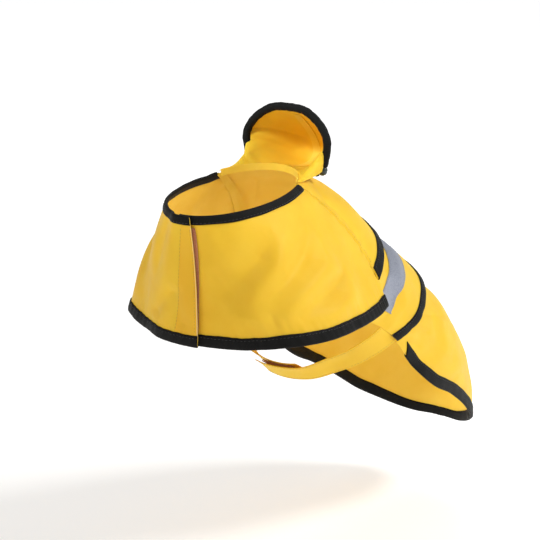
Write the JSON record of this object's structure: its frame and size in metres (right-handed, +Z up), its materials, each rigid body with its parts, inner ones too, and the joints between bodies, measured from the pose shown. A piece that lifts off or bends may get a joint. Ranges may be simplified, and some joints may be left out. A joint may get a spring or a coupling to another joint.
{
  "type": "dog raincoat",
  "caption": "Small dog's caped raincoat: hooped cape with a front lap, tucked back and tail panels, bound edges, reflective stripe, belly band and drawcord hood.",
  "frame": {"origin": "point on the wearer's withers, on the median plane under the upper back, that carries the coat", "axes": "-X toward the wearer's face, +X toward the tail, -Y the wearer's left, +Z up, as worn on a seated dog"},
  "size_m": [0.4061, 0.1918, 0.3452],
  "materials": {
    "cloth": "coated nylon, faint satin sheen",
    "trim": "ribbed black tape",
    "tape": "matt salmon hook and loop tape",
    "reflective": "smooth grey reflective film",
    "lock": "dark green-grey moulded ball"
  },
  "bodies": {
    "root": {"cape_left": "cloth", "cape_right": "cloth", "yoke": "cloth", "back_panel": "cloth", "tail_panel": "cloth", "belly_band_left": "cloth", "belly_band_right": "cloth", "hood_left": "cloth", "hood_right": "cloth", "cape_hem_left": "trim", "cape_hem_right": "trim", "yoke_binding": "trim", "neck_binding_left": "trim", "neck_binding_right": "trim", "back_binding": "trim", "tail_binding": "trim", "hood_rim": "trim", "cord_end_left": "trim", "cord_end_right": "trim", "hook_tape": "tape", "loop_tape": "tape", "belly_hook_tape": "tape", "belly_loop_tape": "tape", "reflective_stripe": "reflective", "cord_lock_left": "lock", "cord_lock_right": "lock"}
  },
  "joints": []
}
